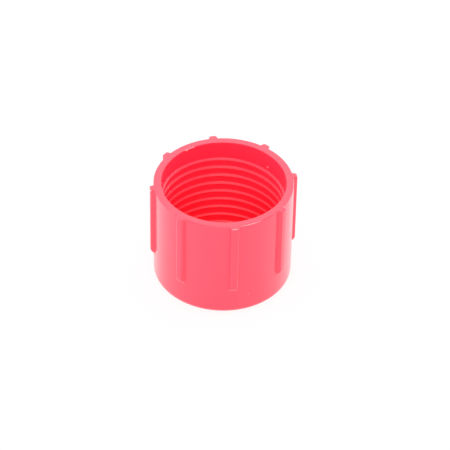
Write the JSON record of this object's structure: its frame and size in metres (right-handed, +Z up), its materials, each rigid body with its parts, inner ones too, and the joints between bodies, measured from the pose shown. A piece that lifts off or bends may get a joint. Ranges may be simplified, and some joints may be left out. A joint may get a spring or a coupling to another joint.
{
  "type": "threaded protection cap",
  "caption": "Short moulded plastic screw-on protection cap: a closed cup with an internal right-hand thread below a smooth mouth and evenly spaced grip ribs down its outside",
  "frame": {"origin": "middle of the closed end's outer face, on the cap's axis, where the cap stands", "axes": "+Z runs up the cap's axis and out of its open mouth; +X runs out through the middle of one grip rib"},
  "size_m": [0.0226, 0.0226, 0.0173],
  "materials": {
    "cap_polyethylene": "semi-gloss red low-density polyethylene"
  },
  "bodies": {
    "root": {"cap": "cap_polyethylene"}
  },
  "joints": []
}
